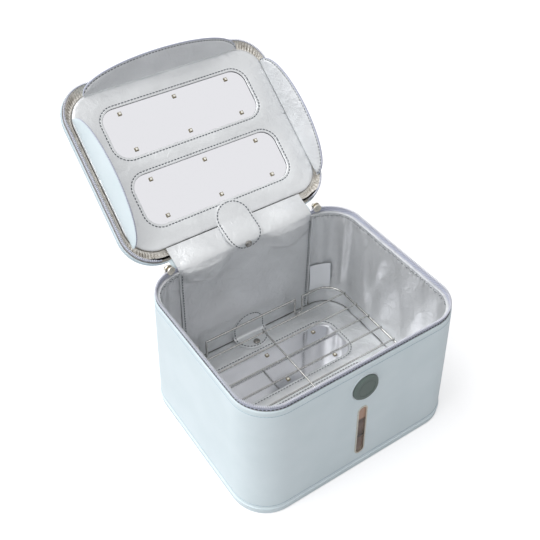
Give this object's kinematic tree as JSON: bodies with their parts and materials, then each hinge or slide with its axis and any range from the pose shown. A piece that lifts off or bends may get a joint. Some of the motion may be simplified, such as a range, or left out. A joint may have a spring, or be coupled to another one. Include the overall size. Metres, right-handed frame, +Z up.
{
  "type": "uv sanitizer box",
  "caption": "Soft-sided box case with a zipped hinged lid, silver lining, UV lamps in lid and floor, wire rack, push button and light slot.",
  "frame": {"origin": "centre of the flat underside of the case", "axes": "+X to the right along the front, -Y out of the front with the button, +Z up"},
  "size_m": [0.2892, 0.4451, 0.3442],
  "materials": {
    "leather": "pale ice-blue leatherette, satin",
    "lining": "silver coated lining, soft sheen",
    "tape": "lavender-grey woven tape and coil",
    "stiffener": "fibre board",
    "panel_card": "plain card with ribs",
    "mirror_film": "polished",
    "lamp_board": "white mask",
    "lamp": "ceramic package",
    "housing": "moulded",
    "circuit": "green mask",
    "dark_plastic": "matt",
    "light": "packages",
    "slot_window": "smoked, gloss",
    "button": "satin grey-green",
    "nickel": "warm nickel plate",
    "steel": "stainless wire",
    "magnet": "plated",
    "label": "blank woven label"
  },
  "bodies": {
    "case": {"base_panel": "leather", "base_board": "stiffener", "base_welt": "leather", "outer_shell": "leather", "wall_board": "stiffener", "wall_liner": "lining", "back_liner": "lining", "seam_piping": "lining", "body_zip_tape": "tape", "body_zip_coil": "tape", "floor_pad": "lining", "floor_reflectors": "mirror_film", "floor_led_boards": "lamp_board", "floor_leds": "lamp", "control_housing": "housing", "control_board": "circuit", "button_switch": "dark_plastic", "lid_sensor": "dark_plastic", "light_strip": "light", "indicator_window": "slot_window", "indicator_bezel": "nickel", "button_bezel": "housing", "power_socket": "dark_plastic", "wiring_loom": "dark_plastic", "blank_label": "label", "hinge_strip": "leather", "hinge_lining": "lining", "upper_tab": "lining", "upper_snap": "nickel", "lower_tab": "lining", "lower_snap": "nickel"},
    "lid": {"lid_shell": "leather", "lid_board": "stiffener", "lid_core": "panel_card", "lid_liner": "lining", "lid_gusset": "lining", "lid_reflectors": "mirror_film", "lid_led_boards": "lamp_board", "lid_leds": "lamp", "lid_magnet": "magnet", "lid_zip_tape": "tape", "lid_zip_coil": "tape"},
    "front_flap": {"front_flap": "leather", "front_flap_lining": "lining"},
    "left_flap": {"left_flap": "leather", "left_flap_lining": "lining"},
    "right_flap": {"right_flap": "leather", "right_flap_lining": "lining"},
    "power_button": {"power_button": "button"},
    "left_slider": {"left_slider": "nickel"},
    "right_slider": {"right_slider": "nickel"},
    "left_pull": {"left_pull": "nickel"},
    "right_pull": {"right_pull": "nickel"},
    "rack": {"rack_frame": "steel", "rack_wires": "steel", "rack_brace": "steel"}
  },
  "joints": [
    {"name": "lid_hinge", "type": "hinge", "parent": "case", "child": "lid", "pos_m": [0, 0.122, 0.1759], "axis": [1, 0, 0], "range_deg": [0, 142], "deforming": ["hinge_strip", "hinge_lining", "upper_tab"]},
    {"name": "front_flap_fold", "type": "hinge", "parent": "lid", "child": "front_flap", "pos_m": [0, 0.29866, 0.31037], "axis": [1, 0, 0], "range_deg": [0, 45]},
    {"name": "right_flap_fold", "type": "hinge", "parent": "lid", "child": "right_flap", "pos_m": [0.129, 0.21513, 0.24511], "axis": [0, -0.788, -0.6157], "range_deg": [0, 23]},
    {"name": "left_flap_fold", "type": "hinge", "parent": "lid", "child": "left_flap", "pos_m": [-0.129, 0.21513, 0.24511], "axis": [0, -0.788, -0.6157], "range_deg": [0, 16]},
    {"name": "button_press", "type": "slide", "parent": "case", "child": "power_button", "axis": [0, 0.9997, -0.0238], "range_m": [0, 0.001], "stiffness_N_per_m": 800},
    {"name": "left_slider_run", "type": "hinge", "parent": "case", "child": "left_slider", "pos_m": [-0.097, 0.074, 0.1759], "axis": [0, 0, 1], "range_deg": [0, 72]},
    {"name": "right_slider_run", "type": "hinge", "parent": "case", "child": "right_slider", "pos_m": [0.097, 0.074, 0.1759], "axis": [0, 0, -1], "range_deg": [0, 72]},
    {"name": "left_pull_swing", "type": "hinge", "parent": "left_slider", "child": "left_pull", "pos_m": [-0.10421, 0.11953, 0.1759], "axis": [0.9877, 0.1564, 0], "range_deg": [0, 45]},
    {"name": "right_pull_swing", "type": "hinge", "parent": "right_slider", "child": "right_pull", "pos_m": [0.10421, 0.11953, 0.1759], "axis": [0.9877, -0.1564, 0], "range_deg": [0, 45]},
    {"name": "rack_lift", "type": "slide", "parent": "case", "child": "rack", "axis": [0, 0, -1], "range_m": [-0.2, 0]}
  ],
  "couplings": [
    {"joint": "front_flap_fold", "follows": "lid_hinge", "ratio": 0.3169},
    {"joint": "right_flap_fold", "follows": "lid_hinge", "ratio": 0.16197},
    {"joint": "left_flap_fold", "follows": "lid_hinge", "ratio": 0.11268}
  ]
}
